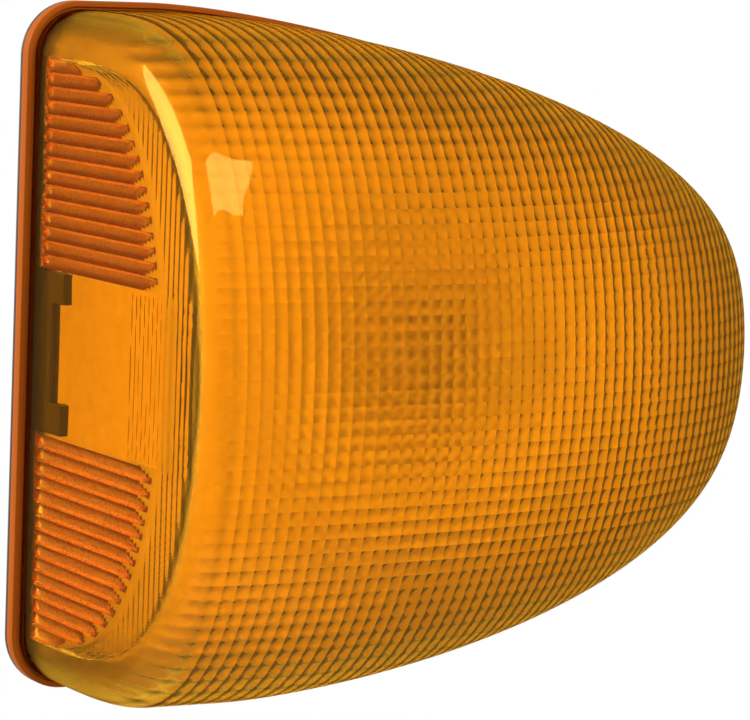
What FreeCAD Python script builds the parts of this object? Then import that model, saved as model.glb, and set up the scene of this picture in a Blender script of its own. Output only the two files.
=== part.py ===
import FreeCAD, Part
import math
import os

V = FreeCAD.Vector
os.makedirs("parts", exist_ok=True)

# Vehicle indicator lamp, in mm.
# +X runs from the flat end wall to the nose, +Z is up and the lens bulges towards -Y.
# The origin is the middle of the two studs on the plane that the lamp is fixed against.

# Lens, measured from its end wall (x), from the front of its flange (h) and from mid-height (z)
LENS_LENGTH = 146.0
LENS_HALF_HEIGHT = 61.2
LENS_DEPTH = 75.0
LENS_WALL = 2.5
CORNER_R = 8.5
CROWN_EDGE_R = 6.0
# where the plan outline starts to narrow, and its two exponents
PLAN_START = 23.3
PLAN_N = 1.49
PLAN_M = 2.35
# where the crown starts to fall towards the nose, and its two exponents
CROWN_START = 7.9
CROWN_N = 2.26
CROWN_M = 1.87
# the nose ends in a small flat, at this angle of the outline
NOSE_ANGLE = 87.0
OUTLINE_STEPS = 8
ROUND_STEPS = 4
SECTION_STEPS = 7

# Lens flange
FLANGE_T = 2.7
FLANGE_OVERHANG = 1.5

# Lens optics: prism ribs inside the end wall, above and below a clear window
RIB_PITCH = 2.5
RIB_LAND = 0.3
RIB_HEIGHT = 1.6
RIB_FOOT_H = 3.5
RIB_EDGE_GAP = 12.5
RIB_TIP_RUN = 7.0
# how far a rib's ridge leans in from its edge, as a share of its height
RIB_LEAN = 0.2
WINDOW_HALF = 15.0

# Housing
PLATE_T = 2.5
PLATE_EDGE_T = 0.6
TONGUE_FIT = 0.3
TONGUE_T = 1.8
TONGUE_H = 2.3
# dark shade that stands on the tongue behind the clear window, lower in the middle
SHADE_H = 8.0
SHADE_EAR_H = 13.0
SHADE_EAR_W = 5.5
SHADE_GAP = 0.5
CHANNEL_W = 1.4
CHANNEL_D = 1.0
CHANNEL_INSET = 0.4
SPINE_HEIGHT = 53.0
SPINE_T = 1.0
SPINE_END_R = 4.0
SPINE_NOSE_X = 130.0

# Fixing
GASKET_T = 1.2
GASKET_HOLE_FIT = 1.5
STUD_SPACING = 92.0
STUD_R = 3.0
STUD_SHOULDER_R = 4.0
STUD_LENGTH = 18.0
STUD_HEAD_R = 6.5
STUD_HEAD_T = 2.0
STUD_SKIN = 1.2
STUD_HOLE_FIT = 0.3
STUD_TIP = 0.8
MOUNT_X = 73.0

# Bulb holder
BULB_X = 73.0
HOLDER_R = 14.5
HOLDER_FIT = 0.3
HOLDER_FLANGE_R = 19.0
HOLDER_FLANGE_T = 2.5
HOLDER_FRONT = 3.0
HUB_R = 12.0
HUB_LENGTH = 8.0
HOLDER_SEAL_T = 1.6
HOLDER_SEAL_W = 2.6
HOLDER_LUG_W = 7.0
HOLDER_LUG_T = 1.6
HOLDER_LUG_REACH = 2.2
HOLDER_LUGS = 3
LOCK_TURN = 50.0
GRIP_LENGTH = 34.0
GRIP_T = 5.0
GRIP_DEPTH = 7.0
SLEEVE_R = 8.2
SLEEVE_T = 0.5
SLEEVE_LENGTH = 15.0
SLOT_W = 2.6
PIN_CLEARANCE = 0.4
SHROUD_X = 16.0
SHROUD_Z = 9.0
SHROUD_T = 1.4
SHROUD_LENGTH = 12.0
BLADE_W = 6.3
BLADE_T = 0.8
BLADE_LENGTH = 9.0
BLADE_SPACING = 7.6
LEAF_RISE = 2.0

# Bulb with a bayonet cap
CAP_R = 7.5
CAP_LENGTH = 16.5
CAP_T = 0.4
PIN_R = 1.0
PIN_REACH = 1.2
PIN_BACK = 6.5
INSULATOR_T = 2.2
TIP_R = 2.4
TIP_T = 1.0
GLASS_R = 13.0
GLASS_NECK_LENGTH = 5.0
GLASS_SHOULDER = 1.0
GLASS_TOP = 35.0
GLASS_T = 0.9
GLASS_LEAN = -15.0
GLASS_STEPS = 6
STEM_R = 4.2
STEM_LENGTH = 9.0
STEM_FOOT_T = 1.5
WIRE_R = 0.35
WIRE_SPREAD = 3.0
WIRE_END = 0.6
FILAMENT_R = 0.6

# Reflector
REFLECTOR_T = 1.2
REFLECTOR_FIT = 0.4
REFLECTOR_RISE = 3.0
BOWL_R = 34.0
BOWL_DEPTH = 9.0
BOWL_HOLE_R = 18.0
SCREW_EDGE_GAP = 5.5
SCREW_HEAD_R = 3.2
SCREW_HEAD_T = 1.6
SCREW_R = 1.5
SCREW_LENGTH = 5.0
BOSS_R = 4.0
BOSS_H = 2.0
HOLE_FIT = 0.2

# The fixing plane lies this far behind the front of the lens flange
PLATE_BACK = FLANGE_T + PLATE_T
SPINE_BACK = PLATE_BACK + SPINE_T
BASE_H = SPINE_BACK + GASKET_T

# Sizes that follow from those above
TONGUE_INSET = LENS_WALL + TONGUE_FIT
REFLECTOR_INSET = TONGUE_INSET + TONGUE_T + REFLECTOR_FIT
REFLECTOR_BACK = -FLANGE_T + BOSS_H
HUB_BACK = -SPINE_BACK - HOLDER_SEAL_T - HOLDER_FLANGE_T - HUB_LENGTH
POCKET_FLOOR = HOLDER_FRONT - SLEEVE_LENGTH
CAP_BACK = POCKET_FLOOR + LEAF_RISE + TIP_T
CAP_FRONT = CAP_BACK + CAP_LENGTH
BULB_CENTRE = CAP_FRONT + GLASS_TOP - GLASS_R


def place(x, h, z):
    """A point at x from the end wall, h in front of the flange and z above mid-height."""
    return V(x - MOUNT_X, -(h + BASE_H), z)


def section(angle):
    """Half-height and depth shares of the cross-section, where share_z^2 + share_h^4 = 1."""
    s = math.sin(angle) ** 2
    c = math.cos(angle) ** 4
    if c < 1e-12:
        return math.copysign(1.0, angle), 0.0
    r = math.sqrt((math.sqrt(s * s + 4 * c) - s) / (2 * c))
    return r * math.sin(angle), r * math.cos(angle)


def rounding(distance, radius):
    """How far a round corner falls short at a distance from the wall that it starts from."""
    d = max(0.0, radius - distance)
    return radius - math.sqrt(max(0.0, radius * radius - d * d))


def half_height(x, inset):
    """Half-height of the lens at its foot, for a skin set in from the outside by inset."""
    length = LENS_LENGTH - inset
    u = min(1.0, max(0.0, (x - PLAN_START) / (length - PLAN_START)))
    full = (LENS_HALF_HEIGHT - inset) * (1 - u ** PLAN_N) ** (1 / PLAN_M)
    return full - rounding(x - inset, CORNER_R - inset)


def crown(x, inset):
    """Depth of the lens at mid-height, for a skin set in from the outside by inset."""
    length = LENS_LENGTH - inset
    u = min(1.0, max(0.0, (x - CROWN_START) / (length - CROWN_START)))
    full = (LENS_DEPTH - inset) * (1 - u ** CROWN_N) ** (1 / CROWN_M)
    return full - rounding(x - inset, CROWN_EDGE_R - inset)


def nose_x(angle, inset):
    """Distance from the end wall at an angle of the outline's superellipse."""
    share = math.sin(math.radians(angle)) ** (2 / PLAN_N)
    return PLAN_START + (LENS_LENGTH - inset - PLAN_START) * share


def round_stations(inset, steps):
    """Places along x round the corner that starts at the end wall."""
    radius = CORNER_R - inset
    return [inset + radius * (1 - math.cos(math.pi / 2 * i / steps)) for i in range(steps + 1)]


def smooth_stations(inset):
    """Places along x for a smooth skin, closer together at both ends."""
    angles = [NOSE_ANGLE * i / OUTLINE_STEPS for i in range(OUTLINE_STEPS + 1)]
    return round_stations(inset, ROUND_STEPS) + [nose_x(a, inset) for a in angles]


def skin(inset):
    """Points of a lens skin, one row for each station along x."""
    angles = [math.pi / 2 * i / SECTION_STEPS for i in range(-SECTION_STEPS, SECTION_STEPS + 1)]
    rows = []
    for x in smooth_stations(inset):
        z = half_height(x, inset)
        h = crown(x, inset)
        shares = [section(a) for a in angles]
        rows.append([place(x, h * sh, z * sz) for sz, sh in shares])
    return rows


def smooth_face(rows):
    surface = Part.BSplineSurface()
    surface.interpolate(rows)
    return surface.toShape()


def outline_side(inset, h, side):
    """One side of the foot outline: a round corner, a straight and arcs to the nose."""
    half = LENS_HALF_HEIGHT - inset
    r = CORNER_R - inset
    cut = r * (1 - math.sqrt(0.5))
    start = place(inset, h, side * (half - r))
    middle = place(inset + cut, h, side * (half - cut))
    end = place(inset + r, h, side * half)
    places = [nose_x(NOSE_ANGLE * i / OUTLINE_STEPS, inset) for i in range(OUTLINE_STEPS + 1)]
    p = [place(x, h, side * half_height(x, inset)) for x in places]
    edges = [Part.Arc(start, middle, end).toShape(), Part.makeLine(end, p[0])]
    edges += [Part.Arc(p[i], p[i + 1], p[i + 2]).toShape() for i in range(0, OUTLINE_STEPS, 2)]
    return edges


def outline_wire(inset, h):
    """Closed foot outline at depth h: two sides, the end wall and the small nose flat."""
    top = outline_side(inset, h, 1)
    low = outline_side(inset, h, -1)
    end = Part.makeLine(low[0].firstVertex().Point, top[0].firstVertex().Point)
    nose = Part.makeLine(low[-1].lastVertex().Point, top[-1].lastVertex().Point)
    return Part.Wire(Part.__sortEdges__(top + [nose] + low + [end]))


def slab(inset, back, front):
    """Solid of the foot outline between two depths."""
    return Part.Face(outline_wire(inset, back)).extrude(V(0, back - front, 0))


def ring(outer, inner, back, front):
    return slab(outer, back, front).cut(slab(inner, back, front))


def rod(x, z, r, back, front):
    """Round bar along the depth, from back to front."""
    return Part.makeCylinder(r, front - back, place(x, back, z), V(0, -1, 0))


def box(x0, x1, back, front, z0, z1):
    return Part.makeBox(x1 - x0, front - back, z1 - z0, place(x0, front, z0))


def turned(x, profile):
    """Solid of revolution about the depth axis through x from (radius, depth) points."""
    wire = Part.makePolygon([place(x + r, h, 0) for r, h in profile + profile[:1]])
    return Part.Face(wire).revolve(place(x, 0, 0), V(0, 1, 0), 360)


def rib_faces(z_low, z_high, tip_h, up):
    """One prism rib on the end wall: its footprint wire and its four raised faces."""
    x = LENS_WALL
    ridge_z = z_high if up else z_low
    ridge_x = x + RIB_HEIGHT
    slope = RIB_HEIGHT * RIB_LEAN
    a = place(x, RIB_FOOT_H, z_low)
    b = place(x, RIB_FOOT_H, z_high)
    c = place(x, tip_h, z_high)
    d = place(x, tip_h, z_low)
    ridge_z += -slope if up else slope
    e = place(ridge_x, RIB_FOOT_H + slope, ridge_z)
    f = place(ridge_x, tip_h - RIB_TIP_RUN, ridge_z)
    loops = [[a, e, f, d], [b, c, f, e], [a, b, e], [c, d, f]]
    faces = []
    for loop in loops:
        wire = Part.makePolygon(loop + loop[:1])
        if len(loop) == 3:
            faces.append(Part.Face(wire))
        else:
            faces.append(Part.Face(Part.makePolygon([loop[0], loop[1], loop[2], loop[0]])))
            faces.append(Part.Face(Part.makePolygon([loop[0], loop[2], loop[3], loop[0]])))
    return Part.makePolygon([a, b, c, d, a]), faces


def rib_tip(z):
    """Depth at which a rib ends, short of the rounded edge of the end wall."""
    share = abs(z) / half_height(LENS_WALL, LENS_WALL)
    return crown(LENS_WALL, LENS_WALL) * (1 - share ** 2) ** 0.25 - RIB_EDGE_GAP


def chord(edge):
    """Straight edge between the ends of a curve that lies in a plane."""
    return Part.makeLine(edge.firstVertex().Point, edge.lastVertex().Point)


def walls(edges, depth):
    """Upright faces behind a set of edges."""
    return [e.extrude(V(0, depth, 0)) for e in edges]


def make_lens():
    outer = smooth_face(skin(0))
    inner = smooth_face(skin(LENS_WALL))
    end_out, low_out, nose_out, top_out = outer.Edges
    end_in, low_in, nose_in, top_in = inner.Edges
    faces = [outer, inner]

    holes = []
    flat = half_height(LENS_WALL, LENS_WALL)
    for i in range(int((flat - WINDOW_HALF) / RIB_PITCH)):
        for side in (1, -1):
            near = side * (WINDOW_HALF + RIB_PITCH * i)
            far = near + side * (RIB_PITCH - RIB_LAND)
            wire, raised = rib_faces(min(near, far), max(near, far), rib_tip(far), side > 0)
            holes.append(wire)
            faces += raised
    faces.append(Part.Face(Part.Wire([end_out, chord(end_out)])))
    faces.append(Part.Face([Part.Wire([end_in, chord(end_in)])] + holes))
    faces.append(Part.Face(Part.Wire([nose_out, chord(nose_out)])))
    faces.append(Part.Face(Part.Wire([nose_in, chord(nose_in)])))

    rim = outline_wire(-FLANGE_OVERHANG, 0)
    foot_out = [chord(end_out), low_out, chord(nose_out), top_out]
    foot_in = [chord(end_in), low_in, chord(nose_in), top_in]
    back = V(0, FLANGE_T, 0)
    inner_back = Part.Wire(Part.__sortEdges__(foot_in))
    inner_back.translate(back)
    faces.append(Part.Face([rim, Part.Wire(Part.__sortEdges__(foot_out))]))
    faces.append(Part.Face([outline_wire(-FLANGE_OVERHANG, -FLANGE_T), inner_back]))
    faces += walls(rim.Edges, FLANGE_T)
    faces += walls(foot_in, FLANGE_T)
    shell = Part.Shell(faces)
    shell.sewShape()
    solid = Part.Solid(shell)
    if solid.Volume < 0:
        solid.reverse()
    return solid


def spine_block(back, front):
    """Raised strip along the back of the housing, also the outline of the gasket."""
    half = SPINE_HEIGHT / 2
    start = PLATE_T - PLATE_EDGE_T - FLANGE_OVERHANG
    block = box(start, SPINE_NOSE_X, back, front, -half, half)
    upright = [e for e in block.Edges if abs(e.tangentAt(e.FirstParameter).y) > 0.99]
    return block.makeFillet(SPINE_END_R, upright)


def stud_places():
    return [BULB_X - STUD_SPACING / 2, BULB_X + STUD_SPACING / 2]


def stud(x):
    """Stud with its head moulded into the housing and a shoulder up to the fixing plane."""
    head_back = -SPINE_BACK + STUD_SKIN
    tip = -SPINE_BACK - STUD_LENGTH
    profile = [(0, tip), (STUD_R - STUD_TIP, tip), (STUD_R, tip + STUD_TIP), (STUD_R, -BASE_H)]
    profile += [(STUD_SHOULDER_R, -BASE_H), (STUD_SHOULDER_R, head_back)]
    profile += [(STUD_HEAD_R, head_back), (STUD_HEAD_R, head_back + STUD_HEAD_T)]
    profile += [(0, head_back + STUD_HEAD_T)]
    return turned(x, profile)


def around(shape, angle):
    """Copy of a shape turned about the bulb's axis."""
    copy = shape.copy()
    copy.rotate(place(BULB_X, 0, 0), V(0, 1, 0), angle)
    return copy


def lugs(reach, width, back, front, turn):
    """Bayonet lugs of the holder, or the notches that they pass through."""
    lug = box(BULB_X, BULB_X + HOLDER_R + reach, back, front, -width / 2, width / 2)
    return [around(lug, turn + 360 / HOLDER_LUGS * i) for i in range(HOLDER_LUGS)]


def screw_places():
    """Heights of the two screws, a set gap in from the reflector's edge."""
    half = half_height(BULB_X, REFLECTOR_INSET) - SCREW_EDGE_GAP
    return [-half, half]


def screw(z):
    top = REFLECTOR_BACK + REFLECTOR_T
    head = rod(BULB_X, z, SCREW_HEAD_R, top, top + SCREW_HEAD_T)
    return head.fuse(rod(BULB_X, z, SCREW_R, top - SCREW_LENGTH, top)).removeSplitter()


def make_housing(studs):
    edge_h = -FLANGE_T - PLATE_EDGE_T
    chamfer = PLATE_T - PLATE_EDGE_T
    rim = slab(-FLANGE_OVERHANG, edge_h, -FLANGE_T)
    back_edge = outline_wire(chamfer - FLANGE_OVERHANG, -PLATE_BACK)
    front_edge = outline_wire(-FLANGE_OVERHANG, edge_h)
    body = rim.fuse(Part.makeLoft([back_edge, front_edge], True, True))
    body = body.fuse(ring(TONGUE_INSET, TONGUE_INSET + TONGUE_T, edge_h, TONGUE_H))
    inner = TONGUE_INSET + TONGUE_T
    half = WINDOW_HALF - SHADE_GAP
    body = body.fuse(box(TONGUE_INSET, inner, -FLANGE_T, SHADE_H, -half, half))
    body = body.fuse(box(TONGUE_INSET, inner, -FLANGE_T, SHADE_EAR_H, -half, SHADE_EAR_W - half))
    body = body.fuse(box(TONGUE_INSET, inner, -FLANGE_T, SHADE_EAR_H, half - SHADE_EAR_W, half))
    body = body.fuse(spine_block(-SPINE_BACK, -PLATE_BACK))
    for z in screw_places():
        body = body.fuse(rod(BULB_X, z, BOSS_R, -FLANGE_T, REFLECTOR_BACK))
    body = body.cut(ring(CHANNEL_INSET, CHANNEL_INSET + CHANNEL_W, -FLANGE_T - CHANNEL_D, -FLANGE_T))
    body = body.cut(rod(BULB_X, 0, HOLDER_R + HOLDER_FIT, -SPINE_BACK, -FLANGE_T))
    reach = HOLDER_LUG_REACH + HOLDER_FIT
    for notch in lugs(reach, HOLDER_LUG_W + 2 * HOLDER_FIT, -SPINE_BACK, -FLANGE_T, 0):
        body = body.cut(notch)
    screw_end = REFLECTOR_BACK + REFLECTOR_T - SCREW_LENGTH
    for z in screw_places():
        body = body.cut(rod(BULB_X, z, SCREW_R, screw_end, REFLECTOR_BACK))
    for piece in studs:
        body = body.cut(piece)
    return body.removeSplitter()


def make_gasket():
    pad = spine_block(-BASE_H, -SPINE_BACK)
    pad = pad.cut(rod(BULB_X, 0, HOLDER_FLANGE_R + GASKET_HOLE_FIT, -BASE_H, -SPINE_BACK))
    for x in stud_places():
        pad = pad.cut(rod(x, 0, STUD_SHOULDER_R + STUD_HOLE_FIT, -BASE_H, -SPINE_BACK))
    return pad


def make_reflector():
    front = REFLECTOR_BACK + REFLECTOR_T
    inset = REFLECTOR_INSET
    tray = slab(inset, REFLECTOR_BACK, front)
    tray = tray.fuse(ring(inset, inset + REFLECTOR_T, REFLECTOR_BACK, REFLECTOR_RISE))
    lip = front + BOWL_DEPTH
    inner = BOWL_HOLE_R
    bowl = [(inner, REFLECTOR_BACK), (inner + REFLECTOR_T, REFLECTOR_BACK)]
    bowl += [(BOWL_R, lip - REFLECTOR_T), (BOWL_R, lip), (inner, front)]
    tray = tray.fuse(turned(BULB_X, bowl))
    tray = tray.cut(rod(BULB_X, 0, BOWL_HOLE_R, REFLECTOR_BACK, front))
    for z in screw_places():
        tray = tray.cut(rod(BULB_X, z, SCREW_R + HOLE_FIT, REFLECTOR_BACK, front))
    return tray.removeSplitter()


def make_contacts():
    """The live leaf under the bulb's tip and the earth foot under the sleeve, each with a blade."""
    half = BLADE_W / 2
    blade_end = HUB_BACK - BLADE_LENGTH
    live_x = BULB_X - BLADE_SPACING / 2 - BLADE_T / 2
    earth_x = BULB_X + BLADE_SPACING / 2 - BLADE_T / 2
    leaf_top = POCKET_FLOOR + LEAF_RISE
    live = box(live_x, live_x + BLADE_T, blade_end, leaf_top, -half, half)
    live = live.fuse(box(live_x, BULB_X + TIP_R, leaf_top - BLADE_T, leaf_top, -half, half))
    earth = box(earth_x, earth_x + BLADE_T, blade_end, POCKET_FLOOR, -half, half)
    foot = box(earth_x, BULB_X + SLEEVE_R, POCKET_FLOOR - BLADE_T, POCKET_FLOOR, -half, half)
    return live.removeSplitter(), earth.fuse(foot).removeSplitter()


def pin_grooves(reach):
    """Ways for the bulb's two pins, from the front of the holder to where they rest."""
    half = SLOT_W / 2
    rest = CAP_BACK + PIN_BACK - PIN_R
    return box(BULB_X - reach, BULB_X + reach, rest, HOLDER_FRONT, -half, half)


def make_holder(live, earth):
    flange_front = -SPINE_BACK - HOLDER_SEAL_T
    flange_back = flange_front - HOLDER_FLANGE_T
    body = rod(BULB_X, 0, HOLDER_R, flange_back, HOLDER_FRONT)
    body = body.fuse(rod(BULB_X, 0, HOLDER_FLANGE_R, flange_back, flange_front))
    body = body.fuse(rod(BULB_X, 0, HUB_R, HUB_BACK, flange_back))
    for lug in lugs(HOLDER_LUG_REACH, HOLDER_LUG_W, -FLANGE_T, -FLANGE_T + HOLDER_LUG_T, LOCK_TURN):
        body = body.fuse(lug)
    half = GRIP_LENGTH / 2
    grip_back = flange_back - GRIP_DEPTH
    body = body.fuse(box(BULB_X - half, BULB_X + half, grip_back, flange_back, -GRIP_T / 2, GRIP_T / 2))
    sx = SHROUD_X / 2
    sz = SHROUD_Z / 2
    shroud_back = HUB_BACK - SHROUD_LENGTH
    body = body.fuse(box(BULB_X - sx, BULB_X + sx, shroud_back, HUB_BACK, -sz, sz))
    sx -= SHROUD_T
    sz -= SHROUD_T
    body = body.cut(box(BULB_X - sx, BULB_X + sx, shroud_back, HUB_BACK, -sz, sz))
    body = body.cut(rod(BULB_X, 0, SLEEVE_R, POCKET_FLOOR, HOLDER_FRONT))
    body = body.cut(pin_grooves(CAP_R + PIN_REACH + PIN_CLEARANCE))
    return body.cut(live).cut(earth).removeSplitter()


def make_sleeve():
    front = POCKET_FLOOR + SLEEVE_LENGTH
    tube = rod(BULB_X, 0, SLEEVE_R, POCKET_FLOOR, front)
    tube = tube.cut(rod(BULB_X, 0, SLEEVE_R - SLEEVE_T, POCKET_FLOOR, front))
    return tube.cut(pin_grooves(SLEEVE_R + PIN_REACH))


def make_holder_seal():
    back = -SPINE_BACK - HOLDER_SEAL_T
    disc = rod(BULB_X, 0, HOLDER_R + HOLDER_SEAL_W, back, -SPINE_BACK)
    return disc.cut(rod(BULB_X, 0, HOLDER_R, back, -SPINE_BACK))


def glass_solid(inset):
    """Pear-shaped bulb: a straight neck, a shoulder and a round top."""
    neck = CAP_R - CAP_T - inset
    foot = CAP_FRONT - GLASS_NECK_LENGTH
    r = GLASS_R - inset
    profile = [(0, foot), (neck, foot), (neck, CAP_FRONT + GLASS_SHOULDER)]
    for i in range(GLASS_STEPS):
        angle = math.radians(GLASS_LEAN + (90 - GLASS_LEAN) * i / GLASS_STEPS)
        profile.append((r * math.cos(angle), BULB_CENTRE + r * math.sin(angle)))
    profile.append((0, BULB_CENTRE + r))
    return turned(BULB_X, profile)


def cross_rod(x0, x1, h, z, r):
    return Part.makeCylinder(r, x1 - x0, place(x0, h, z), V(1, 0, 0))


def make_bulb():
    pieces = {}
    bore = CAP_R - CAP_T
    cap = rod(BULB_X, 0, CAP_R, CAP_BACK, CAP_FRONT).cut(rod(BULB_X, 0, bore, CAP_BACK, CAP_FRONT))
    pin_h = CAP_BACK + PIN_BACK
    reach = CAP_R + PIN_REACH
    pins = [cross_rod(BULB_X - reach, BULB_X - bore, pin_h, 0, PIN_R)]
    pins.append(cross_rod(BULB_X + bore, BULB_X + reach, pin_h, 0, PIN_R))
    pieces["bulb_pins"] = Part.makeCompound(pins)
    pieces["bulb_cap"] = cap.cut(pieces["bulb_pins"])
    pieces["bulb_insulator"] = rod(BULB_X, 0, bore, CAP_BACK, CAP_BACK + INSULATOR_T)
    pieces["bulb_contact"] = rod(BULB_X, 0, TIP_R, CAP_BACK - TIP_T, CAP_BACK)
    pieces["bulb_glass"] = glass_solid(0).cut(glass_solid(GLASS_T))
    foot = CAP_FRONT - GLASS_NECK_LENGTH
    filament = cross_rod(BULB_X - WIRE_SPREAD, BULB_X + WIRE_SPREAD, BULB_CENTRE, 0, FILAMENT_R)
    wires = []
    for x in (BULB_X - WIRE_SPREAD, BULB_X + WIRE_SPREAD):
        wires.append(rod(x, 0, WIRE_R, foot, BULB_CENTRE + FILAMENT_R + WIRE_END))
    pieces["bulb_wires"] = Part.makeCompound([w.cut(filament) for w in wires])
    stem = rod(BULB_X, 0, bore - GLASS_T, foot, foot + STEM_FOOT_T)
    stem = stem.fuse(rod(BULB_X, 0, STEM_R, foot, foot + STEM_LENGTH)).removeSplitter()
    pieces["bulb_stem"] = stem.cut(Part.makeCompound(wires))
    pieces["bulb_filament"] = filament
    return pieces


studs = [stud(x) for x in stud_places()]
live, earth = make_contacts()
parts = make_bulb()
parts["lens"] = make_lens()
parts["housing"] = make_housing(studs)
parts["seal_bead"] = ring(CHANNEL_INSET, CHANNEL_INSET + CHANNEL_W, -FLANGE_T - CHANNEL_D, -FLANGE_T)
parts["mount_studs"] = Part.makeCompound(studs)
parts["mount_gasket"] = make_gasket()
parts["reflector"] = make_reflector()
parts["reflector_screws"] = Part.makeCompound([screw(z) for z in screw_places()])
parts["bulb_holder"] = make_holder(live, earth)
parts["holder_seal"] = make_holder_seal()
parts["holder_sleeve"] = make_sleeve()
parts["live_contact"] = live
parts["earth_contact"] = earth

for name, shape in parts.items():
    shape.exportStep("parts/" + name + ".step")
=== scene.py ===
import bmesh
import bpy
import numpy as np
from mathutils import Matrix, Vector


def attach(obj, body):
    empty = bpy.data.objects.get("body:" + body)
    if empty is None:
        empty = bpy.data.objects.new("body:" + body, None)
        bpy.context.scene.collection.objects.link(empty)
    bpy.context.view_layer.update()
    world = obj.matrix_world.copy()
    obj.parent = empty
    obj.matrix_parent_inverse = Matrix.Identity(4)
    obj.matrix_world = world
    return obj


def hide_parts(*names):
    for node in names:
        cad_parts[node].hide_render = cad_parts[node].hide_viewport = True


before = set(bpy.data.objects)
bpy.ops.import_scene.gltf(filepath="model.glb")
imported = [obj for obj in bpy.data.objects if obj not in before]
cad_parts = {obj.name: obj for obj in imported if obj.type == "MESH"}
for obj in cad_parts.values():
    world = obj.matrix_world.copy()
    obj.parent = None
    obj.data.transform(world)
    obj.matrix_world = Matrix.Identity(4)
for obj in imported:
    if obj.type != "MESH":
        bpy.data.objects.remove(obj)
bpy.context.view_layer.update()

MM = 0.001

# Sizes of the lens, in mm, as in the part: from its end wall (x), flange front (h) and mid-height (z)
NOSE_FLAT = 0.25
LENGTH, HALF, DEPTH, WALL = 146.0 - NOSE_FLAT, 61.2, 75.0, 2.5
CORNER_R, CROWN_R = 8.5, 6.0
PLAN_START, PLAN_N, PLAN_M = 23.3, 1.49, 2.35
CROWN_START, CROWN_N, CROWN_M = 7.9, 2.26, 1.87
TIP = LENGTH - WALL
FLANGE_T, OVERHANG, FLANGE_BACK = 2.7, 1.5, 0.8
GROOVE, FLANGE_ROUND = 0.35, 0.25
MOUNT_X, BASE_H = 73.0, 7.4

# Optics inside the lens, in mm: cells and points a cell, ribs, flutes and lines of the end wall
PITCH, SUB = 2.5, 5
PILLOW, PILLOW_START = 0.37, CROWN_R
RIB_H, RIB_WINDOW, RIB_TOP, RIB_PEAK = 1.6, 15.0, 52.5, 0.8
RIB_GAP, RIB_RUN, RIB_FOOT = 12.5, 7.0, 3.5
FLUTE, FLUTE_PITCH = 0.16, 2.0
LINE, LINE_PITCH = 0.05, 1.7

# Share of the half-height past which the inside goes down to the foot as a flank
FLANK = 0.985

# Materials of the lens, by slot
GLOSSY, SATIN_PAINTED_SHADE, THICK, GRAINED = range(4)

# Studs: M6 thread
STUD_X, STUD_R, STUD_TIP_Y, THREAD, THREAD_DEPTH = 46.0, 3.0, 16.8, 1.0, 0.6


def linear(code):
    """Linear colour of an sRGB hex code."""
    c = np.array([int(code[i:i + 2], 16) for i in (1, 3, 5)]) / 255.0
    c = np.where(c <= 0.04045, c / 12.92, ((c + 0.055) / 1.055) ** 2.4)
    return (*c.tolist(), 1.0)


def to_row(x, h, z):
    """Lamp measures in mm to the row's frame in metres: X less the mount's place, Y against h."""
    return np.stack(np.broadcast_arrays(x - MOUNT_X, -(h + BASE_H), z), -1) * MM


def rounding(distance, radius):
    """How far a round corner of this radius falls short at a distance from its wall."""
    d = np.clip(radius - distance, 0, radius)
    return radius - np.sqrt(radius * radius - d * d)


def half_height(x, inset):
    """Half-height of the foot at x: a superellipse in plan, less the round end corner."""
    u = np.clip((x - PLAN_START) / (LENGTH - inset - PLAN_START), 0, 1)
    full = (HALF - inset) * (1 - u ** PLAN_N) ** (1 / PLAN_M)
    return np.maximum(full - rounding(x - inset, CORNER_R - inset), 0)


def crown(x, inset):
    """Depth at mid-height at x: a superellipse in side view, less the round end edge."""
    u = np.clip((x - CROWN_START) / (LENGTH - inset - CROWN_START), 0, 1)
    full = (DEPTH - inset) * (1 - u ** CROWN_N) ** (1 / CROWN_M)
    return np.maximum(full - rounding(x - inset, CROWN_R - inset), 0)


def depth_share(s):
    """Depth share of the cross-section at height share s: the fourth root of 1 less s squared."""
    return np.clip(1 - s * s, 0, 1) ** 0.25


def grid(points):
    """Points of a grid in one list, and its quads."""
    rows, cols = points.shape[:2]
    i = np.arange(rows - 1)[:, None] * cols + np.arange(cols - 1)[None]
    return points.reshape(-1, 3), np.stack([i, i + 1, i + cols + 1, i + cols], -1).reshape(-1, 4)


def turned(piece):
    """The same points with their faces turned over."""
    points, quads = piece
    return points, quads[:, ::-1]


def mesh_object(name, points, quads, slots, weld, crease):
    """Smooth mesh from arrays of points (m), quads and their material slots.
    Points within weld of each other are joined, and edges over crease degrees stay sharp."""
    mesh = bpy.data.meshes.new(name)
    n = len(quads)
    mesh.vertices.add(len(points))
    mesh.vertices.foreach_set("co", points.reshape(-1).astype(np.float32))
    mesh.loops.add(4 * n)
    mesh.loops.foreach_set("vertex_index", quads.reshape(-1).astype(np.int32))
    mesh.polygons.add(n)
    mesh.polygons.foreach_set("loop_start", (np.arange(n) * 4).astype(np.int32))
    mesh.polygons.foreach_set("use_smooth", np.ones(n, bool))
    mesh.polygons.foreach_set("material_index", slots.astype(np.int32))
    mesh.update()
    bm = bmesh.new()
    bm.from_mesh(mesh)
    bmesh.ops.remove_doubles(bm, verts=bm.verts, dist=weld)
    bm.to_mesh(mesh)
    bm.free()
    mesh.validate()
    mesh.set_sharp_from_angle(angle=np.radians(crease))
    obj = bpy.data.objects.new(name, mesh)
    bpy.context.scene.collection.objects.link(obj)
    return obj


def angle_shares(angles):
    """Height and depth shares at polar angles of the section where s^2 + d^4 = 1."""
    s, c = np.sin(angles) ** 2, np.cos(angles) ** 4
    r = np.sqrt(np.where(c > 1e-9, (np.sqrt(s * s + 4 * c) - s) / np.maximum(2 * c, 1e-9), 1.0))
    return r * np.sin(angles), np.where(c > 1e-9, r * np.cos(angles), 0.0)


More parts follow.
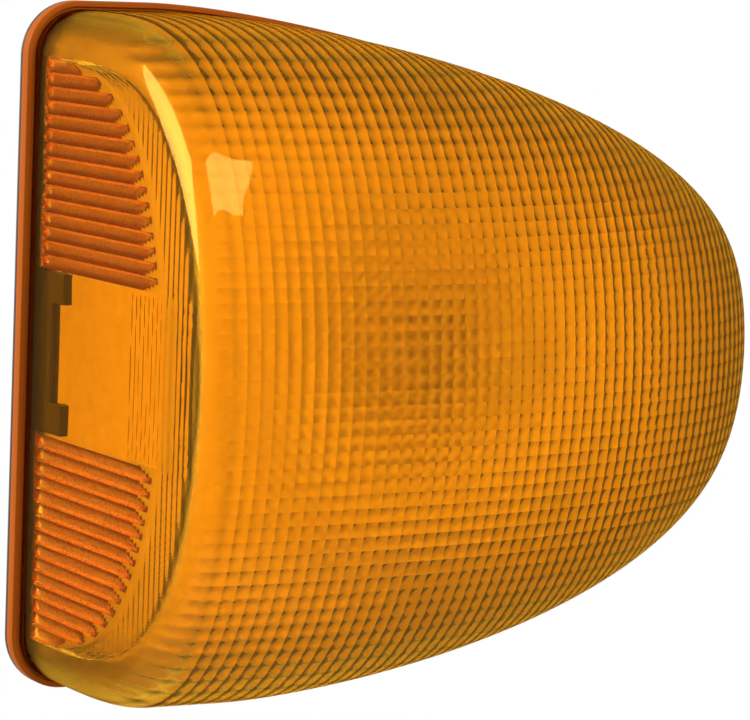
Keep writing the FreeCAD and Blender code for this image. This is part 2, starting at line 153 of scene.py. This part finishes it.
def coarse_stations(inset, corner=18, body=64):
    """Places along x: round the end corner by equal angles, then by equal outline angles to the tip."""
    a = np.linspace(0, np.pi / 2, corner)
    p = np.linspace(0, np.pi / 2, body)
    r = CORNER_R - inset
    nose = PLAN_START + (LENGTH - inset - PLAN_START) * np.sin(p) ** (2 / PLAN_N)
    return np.concatenate([inset + r * (1 - np.cos(a)), [0.5 * (CORNER_R + PLAN_START)], nose])


ROW_S, ROW_D = angle_shares(np.linspace(-np.pi / 2, np.pi / 2, 113))


def outer_skin():
    """Smooth outside: the flat end wall scaled up from its foot, then sections along x."""
    z0, h0 = half_height(0.0, 0.0), crown(0.0, 0.0)
    t = np.linspace(0, 1, 8)[:-1, None]
    wall = to_row(np.zeros_like(t), t * h0 * ROW_D, np.ones_like(t) * z0 * ROW_S)
    x = coarse_stations(0.0)[:, None]
    dome = to_row(x, crown(x, 0.0) * ROW_D, half_height(x, 0.0) * ROW_S)
    return grid(np.concatenate([wall, dome]))


def inner_height(x, z):
    """Depth of the inside over a place on the base."""
    zb = np.maximum(half_height(x, WALL), 1e-6)
    return crown(x, WALL) * depth_share(np.clip(z / zb, -1, 1))


def fade(distance, over):
    """Share from 0 to 1 that grows over a distance."""
    return np.clip(distance / over, 0, 1)


def inner_grid():
    """Places x and z and depths h of the smooth inside, and how many rows lie on the end wall.
    Rows climb the wall, bend round its edge and go on in equal steps to the tip. Columns lie at
    equal steps of z, and on the flanks at equal steps of depth down to the foot."""
    step = PITCH / SUB
    level = np.concatenate([np.linspace(0, 0.62, 34), np.linspace(0.62, 1, 56)[1:-1]])
    bend = WALL + (PILLOW_START - WALL) * (1 - np.cos(np.linspace(0, np.pi / 2, 9)))[:-1]
    cells = PILLOW_START + step * np.arange(int((TIP - PILLOW_START - 0.4) / step))
    near_tip = TIP - np.array([0.25, 0.1, 0.03, 0.0])
    x = np.concatenate([np.full(len(level), WALL), bend, cells, near_tip])[:, None]
    t = np.concatenate([level, np.ones(len(x) - len(level))])[:, None]
    zb = half_height(x, WALL)
    share = depth_share(np.array(FLANK)) * (1 - np.arange(1, 13) / 12.0)
    side = np.sqrt(1 - share ** 4)
    middle = np.clip(step * np.arange(-115, 116)[None], -FLANK * zb, FLANK * zb)
    z = np.concatenate([-zb * side[::-1], middle, zb * side], 1)
    return x, z, t * inner_height(x, z), len(level)


def pillowed(x, z, h):
    """Inside of the dome with square pillows on planes of equal x and z. Each bulges in by PILLOW
    times half of (2 - u^2 - v^2), u and v being -1 to 1 across the cell, and on the steep
    flanks only the part in u is left, as flutes that run down to the foot."""
    e = 0.02
    hx = (inner_height(x + e, z) - inner_height(x - e, z)) / (2 * e)
    hz = (inner_height(x, z + e) - inner_height(x, z - e)) / (2 * e)
    norm = np.sqrt(1 + hx ** 2 + hz ** 2)
    u = 2 * (((x - PILLOW_START) / PITCH + 1e-6) % 1) - 1
    v = 2 * ((z / PITCH + 1e-6) % 1) - 1
    nose = fade(TIP - 3 - x, 3)
    along = nose * fade(x - PILLOW_START + 0.5, 0.5) * fade(h - 1.0, 2.0)
    across = nose * fade(x - WALL, 1.5) * fade(FLANK * half_height(x, WALL) - np.abs(z), 1.2)
    bump = PILLOW * (along * (1 - u * u) + across * (1 - v * v)) / 2
    return x + bump * hx / norm, h - bump / norm, z + bump * hz / norm


def wall_relief(z, h, edge):
    """Heights on the end wall: saw-tooth ribs along h with pointed ends, and apart from
    them shallow flutes along z near its edge and fine lines in the window."""
    az = np.abs(z)
    f = ((az - RIB_WINDOW) / PITCH + 1e-6) % 1
    tooth = np.where(f < RIB_PEAK + 0.01, f / RIB_PEAK, (1 - f) / (1 - RIB_PEAK))
    end = edge - RIB_GAP - RIB_RUN * (1 - f)
    run = fade(end - h, 2.5) * fade(h - RIB_FOOT, 1.5)
    rib = np.where((az > RIB_WINDOW) & (az < RIB_TOP), RIB_H * tooth * run, 0.0)
    w = 2 * ((h / FLUTE_PITCH) % 1) - 1
    flute = FLUTE * (1 - w * w) * fade(h - edge + RIB_GAP, 2) * fade(edge - h, 1.5)
    window = fade(RIB_WINDOW - az, 0.8) * fade(h - RIB_FOOT, 3)
    return rib, flute + LINE * np.sin(2 * np.pi * h / LINE_PITCH) * window


def inner_skin():
    """Inside of the lens as one grid, with the slots of its faces and the loop of its foot."""
    x, z, h, wall_rows = inner_grid()
    px, ph, pz = pillowed(x, z, h)
    on_wall = np.arange(len(x))[:, None] < wall_rows
    edge = crown(WALL, WALL) * depth_share(np.clip(z / half_height(WALL, WALL), -1, 1))
    rib, fine = wall_relief(z, h, edge)
    points = to_row(px + np.where(on_wall, rib + fine, 0.0), ph, pz)
    tall = on_wall & (rib > 0.05)
    ribbed = tall[:-1, :-1] | tall[1:, :-1] | tall[:-1, 1:] | tall[1:, 1:]
    clear = (on_wall & (np.abs(z) < RIB_WINDOW) & (h < edge - RIB_GAP))[:-1, :-1]
    slots = np.where(ribbed, THICK, np.where(clear, GLOSSY, GRAINED))
    top_side, low_side = points[wall_rows:, -1], points[wall_rows:-1, 0]
    foot = np.concatenate([points[0], top_side, low_side[::-1], points[:1, 0]])
    return grid(points), slots.reshape(-1), foot


def inner_rim(foot):
    """Inside of the flange: the foot of the inner skin carried back to the flange's back."""
    drop = np.array([0.0, 0.5, 1.0])[:, None, None] * np.array([0, FLANGE_T * MM, 0])
    return grid(foot[None] + drop)


def foot_loop(inset, h):
    """Closed outline of the foot at an inset: the end wall upwards, the top side out, the low side back."""
    x = coarse_stations(inset)[1:]
    z = half_height(x, inset)
    z0 = half_height(np.array(inset), inset)
    xs = np.concatenate([np.full(len(ROW_S), inset), x, x[-2::-1]])
    zs = np.concatenate([z0 * ROW_S, z, -z[-2::-1]])
    return to_row(xs, np.full(len(xs), h), zs)


def flange():
    """Ring round the foot: a profile of (inset, h) points carried round the outline."""
    rim, back, r, chamfer = -OVERHANG, -FLANGE_T, FLANGE_ROUND, 0.3 * FLANGE_ROUND
    profile = [(0.0, 0.0), (-0.05, -GROOVE), (-0.4, -GROOVE), (-0.5, 0.0), (rim + r, 0.0),
               (rim + chamfer, -chamfer), (rim, -r), (rim, back + r),
               (rim + chamfer, back + chamfer), (rim + r, back), (FLANGE_BACK, back)]
    points = np.stack([foot_loop(inset, h) for inset, h in profile])
    return grid(np.concatenate([points, points[:, :1]], 1))


def back_ring(outer, inner):
    """Flat ring between two loops round the foot: at each angle of either loop's points,
    the last point that each loop has reached."""
    loops = []
    for loop in (outer, inner):
        angle = np.arctan2(loop[:, 2], loop[:, 0]) % (2 * np.pi)
        order = np.argsort(angle, kind="stable")
        loops.append((angle[order], loop[order]))
    steps = np.sort(np.concatenate([angle for angle, _ in loops]))
    rows = np.stack([loop[np.searchsorted(angle, steps, side="right") - 1] for angle, loop in loops])
    return grid(np.concatenate([rows, rows[:, :1]], 1))


def joined(*pieces):
    """One set of points and faces out of several."""
    points, faces, base = [], [], 0
    for p, q in pieces:
        points.append(p)
        faces.append(q + base)
        base += len(p)
    return np.concatenate(points), np.concatenate(faces)


outside = outer_skin()
inside, inside_slots, inner_foot = inner_skin()
rim = inner_rim(inner_foot)
ring = flange()
backing = back_ring(foot_loop(FLANGE_BACK, -FLANGE_T), rim[0][-len(inner_foot):])
lens_parts = joined(turned(outside), inside, turned(rim), ring, turned(backing))
foot_faces = len(rim[1]) + len(ring[1]) + len(backing[1])
# The flange's faces take the satin material, whose dark brown is painted shade
lens_slots = np.concatenate([np.full(len(outside[1]), GLOSSY), inside_slots, np.full(foot_faces, SATIN_PAINTED_SHADE)])
lens = mesh_object("lens_amber", *lens_parts, lens_slots, 2e-6, 24.0)
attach(lens, "root")
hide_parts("lens")


def threaded_stud(x):
    """Stud about an axis along +Y at x (mm): head, shoulder and a thread to the tip.
    The thread's radius falls by a triangle wave of the height less one pitch a turn."""
    turn = np.linspace(0, 2 * np.pi, 41)[None]
    plain = np.array([[0.0, -4.4], [6.5, -4.4], [6.5, -2.4], [4.0, -2.4], [4.0, 0.0], [STUD_R, 0.0]])
    y = np.concatenate([plain[:, 1], np.linspace(0.0, STUD_TIP_Y, 169), [STUD_TIP_Y]])[:, None]
    wave = np.abs(2 * ((y / THREAD - turn / (2 * np.pi)) % 1) - 1)
    radius = np.minimum(STUD_R - THREAD_DEPTH * wave, STUD_R - 0.8 + (STUD_TIP_Y - y))
    radius[:len(plain)] = plain[:, :1]
    radius[-1] = 0.0
    points = np.stack([x + radius * np.cos(turn), y + 0 * turn, radius * np.sin(turn)], -1) * MM
    return grid(points)


stud_parts = turned(joined(*[threaded_stud(x) for x in (-STUD_X, STUD_X)]))
studs = mesh_object("mount_studs_threaded", *stud_parts, np.zeros(len(stud_parts[1])), 1e-6, 30.0)
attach(studs, "root")
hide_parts("mount_studs")


def add_node(tree, kind, *links, **settings):
    """Node of a tree with settings, given as attributes or sockets, and links from outputs to its sockets."""
    node = tree.nodes.new(kind)
    for key, value in settings.items():
        if hasattr(node, key):
            setattr(node, key, value)
        else:
            node.inputs[key.replace("_", " ")].default_value = value
    for output, socket in links:
        tree.links.new(output, node.inputs[socket])
    return node


def grain_outputs(tree, colour, rough, grain):
    """Colour, roughness and bump of a surface with a fine noise.
    Grain is the noise's size in mm and its swing in roughness."""
    size, swing = grain
    place = add_node(tree, "ShaderNodeTexCoord")
    noise = add_node(tree, "ShaderNodeTexNoise", (place.outputs["Object"], "Vector"), Scale=1 / (size * MM))
    level = add_node(tree, "ShaderNodeMapRange", (noise.outputs[0], "Value"),
                     To_Min=rough - swing, To_Max=rough + swing)
    shade = add_node(tree, "ShaderNodeMapRange", (noise.outputs[0], "Value"), To_Min=0.95, To_Max=1.05)
    tone = add_node(tree, "ShaderNodeHueSaturation", (shade.outputs["Result"], "Value"), Color=linear(colour))
    bump = add_node(tree, "ShaderNodeBump", (noise.outputs[0], "Height"),
                    Strength=0.1, Distance=0.01 * size * MM)
    return tone.outputs["Color"], level.outputs["Result"], bump.outputs["Normal"]


def material(name, colour, rough, grain, metal=0.0, **extra):
    """Principled material with a fine grain."""
    mat = bpy.data.materials.new(name)
    mat.use_nodes = True
    tree = mat.node_tree
    shader = tree.nodes["Principled BSDF"]
    shader.inputs["Metallic"].default_value = metal
    for key, value in extra.items():
        shader.inputs[key.replace("_", " ")].default_value = value
    for output, socket in zip(grain_outputs(tree, colour, rough, grain), ("Base Color", "Roughness", "Normal")):
        tree.links.new(output, shader.inputs[socket])
    return mat


def clear_plastic(name, colour, rough, grain, shine, share):
    """Plastic that bends light through it, with an even share of mirrored light."""
    mat = bpy.data.materials.new(name)
    mat.use_nodes = True
    tree = mat.node_tree
    tree.nodes.clear()
    tone, level, normal = grain_outputs(tree, colour, rough, grain)
    bent = add_node(tree, "ShaderNodeBsdfRefraction", (tone, "Color"), (level, "Roughness"),
                    (normal, "Normal"), IOR=1.49)
    mirror = add_node(tree, "ShaderNodeBsdfAnisotropic", (level, "Roughness"), (normal, "Normal"),
                      Color=linear(shine))
    both = add_node(tree, "ShaderNodeMixShader", (bent.outputs[0], 1), (mirror.outputs[0], 2), Fac=share)
    add_node(tree, "ShaderNodeOutputMaterial", (both.outputs[0], "Surface"))
    return mat


def dress(mat, *nodes):
    """Give nodes of the part one material."""
    for node in nodes:
        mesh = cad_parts[node].data
        mesh.materials.clear()
        mesh.materials.append(mat)


# Lens: glossy outside, clear window
glossy = clear_plastic("amber acrylic, injection moulded", "#F9D970", 0.02, (3.0, 0.015), "#FFC868", 0.035)
# Flange: a satin edge in painted shade, darker and duller than the dome, so the foot reads as a brown band; its
# dark brown stands in for shade on the same amber acrylic
satin = material("amber acrylic, satin edge in painted shade", "#843F09", 0.5, (0.5, 0.06), Specular_IOR_Level=0.03)
# Ribs: thick, so redder than the rest
thick = material("amber acrylic, thick moulded ribs", "#FF6E10", 0.28, (0.5, 0.05),
                 Transmission_Weight=0.85, IOR=1.49, Specular_Tint=linear("#FF9A1E"))
# Pillows: a fine grain from the tool blurs what lies behind them into an even glow
grained = material("amber acrylic, fine-grained pillows", "#FBC022", 0.32, (0.5, 0.05),
                   Transmission_Weight=1.0, IOR=1.49, Specular_Tint=linear("#FF9A1E"))
for mat in (glossy, satin, thick, grained):
    lens.data.materials.append(mat)

# Housing: near black, with a soft broken sheen
dress(material("black ABS, moulded satin", "#141414", 0.45, (0.6, 0.08)), "housing")
# Rubber: black and dull
dress(material("EPDM rubber, cut sheet", "#101010", 0.75, (0.4, 0.08)), "mount_gasket", "holder_seal")
# Sealant: a dark grey line in the joint
dress(material("silicone, cured bead", "#1F1F1F", 0.5, (1.5, 0.1)), "seal_bead")
# Reflector: bright white, so the whole lens glows
dress(material("ABS, moulded white", "#F2F0E8", 0.35, (0.8, 0.05)), "reflector")
# Holder: pale, slightly waxy
dress(material("nylon, moulded natural", "#E6E2D6", 0.4, (0.7, 0.06)), "bulb_holder")
# Screws and studs: pale bright metal, uneven where the plating is thicker
plated = material("steel, zinc plated", "#B9B8B2", 0.3, (1.2, 0.08), 1.0)
dress(plated, "mount_studs", "reflector_screws")
studs.data.materials.append(plated)
# Sleeve and cap: smooth, warm silver
dress(material("brass, nickel plated", "#C9C4B8", 0.25, (2.0, 0.05), 1.0),
      "holder_sleeve", "bulb_cap", "bulb_pins")
# Contacts: yellow metal, faintly dulled
dress(material("brass, stamped strip", "#B8935A", 0.3, (1.0, 0.08), 1.0), "live_contact", "earth_contact")
# Bulb's end: a small dull silver dot on black gloss
dress(material("tin solder, domed", "#A9A9AD", 0.35, (0.5, 0.08), 1.0), "bulb_contact")
dress(material("black glass, pressed", "#101014", 0.15, (1.0, 0.04)), "bulb_insulator")
# Wires and filament: dark grey metal
dress(material("tungsten and steel wire, drawn", "#6A6A6C", 0.35, (0.3, 0.06), 1.0),
      "bulb_wires", "bulb_filament")
# Bulb: clear, seen only by its highlights
dress(material("soda-lime glass, blown clear", "#FAFCFA", 0.01, (4.0, 0.01),
               Transmission_Weight=1.0, IOR=1.5),
      "bulb_glass", "bulb_stem")

# Camera of the photo: right, up and back directions, place (m) and lens
scene = bpy.context.scene
right, up, back = (0.8846, -0.4649, 0.0373), (0.0163, 0.1108, 0.9937), (-0.4661, -0.8784, 0.1056)
cam_data = bpy.data.cameras.new("photo camera")
cam_data.sensor_width = 36.0
cam_data.lens = 186.6
camera = bpy.data.objects.new("photo camera", cam_data)
scene.collection.objects.link(camera)
turn = Matrix((right, up, back)).transposed().to_4x4()
camera.matrix_world = Matrix.Translation(Vector((-0.3446, -0.6532, 0.0743))) @ turn
scene.camera = camera
scene.view_settings.view_transform = "Standard"

# White studio: plain white to the camera, in reflections and through the lens; soft even light for all else
world = bpy.data.worlds.new("white studio")
scene.world = world
world.use_nodes = True
tree = world.node_tree
tree.nodes.clear()
path = add_node(tree, "ShaderNodeLightPath")
mirrored = add_node(tree, "ShaderNodeMath", (path.outputs["Is Camera Ray"], 0),
                    (path.outputs["Is Glossy Ray"], 1), operation="MAXIMUM")
seen = add_node(tree, "ShaderNodeMath", (mirrored.outputs[0], 0), (path.outputs["Is Transmission Ray"], 1),
                operation="MAXIMUM")
soft = add_node(tree, "ShaderNodeBackground", Color=linear("#F4F4F4"), Strength=0.75)
white = add_node(tree, "ShaderNodeBackground", Color=(1, 1, 1, 1), Strength=1.0)
mix = add_node(tree, "ShaderNodeMixShader", (seen.outputs[0], 0), (soft.outputs[0], 1), (white.outputs[0], 2))
add_node(tree, "ShaderNodeOutputWorld", (mix.outputs[0], "Surface"))

# Floor: a pale board well below the lamp, which hangs clear of it as in the photo
floor_mesh = bpy.data.meshes.new("floor")
side, level = 0.6, -0.5
corners = [(-side, -side, level), (side, -side, level), (side, side, level), (-side, side, level)]
floor_mesh.from_pydata(corners, [], [(0, 1, 2, 3)])
floor_mesh.materials.append(material("painted board, matt white", "#EDEDED", 0.8, (2.0, 0.05)))
floor = bpy.data.objects.new("floor", floor_mesh)
scene.collection.objects.link(floor)


def softbox(name, place, aim, width, height, power):
    """Rectangular studio light at a place (m), facing a point."""
    data = bpy.data.lights.new(name, "AREA")
    data.shape = "RECTANGLE"
    data.size, data.size_y, data.energy = width, height, power
    lamp = bpy.data.objects.new(name, data)
    scene.collection.objects.link(lamp)
    lamp.location = place
    lamp.rotation_euler = (Vector(aim) - Vector(place)).to_track_quat("-Z", "Y").to_euler()


# One panel shines along the rounded end edge, the other makes the highlight above it
softbox("left softbox", (-0.95, 0.42, 0.38), (0, -0.04, 0), 0.9, 0.5, 24)
softbox("top softbox", (-0.12, -0.74, 0.74), (-0.06, -0.07, 0.03), 1.1, 0.36, 14)
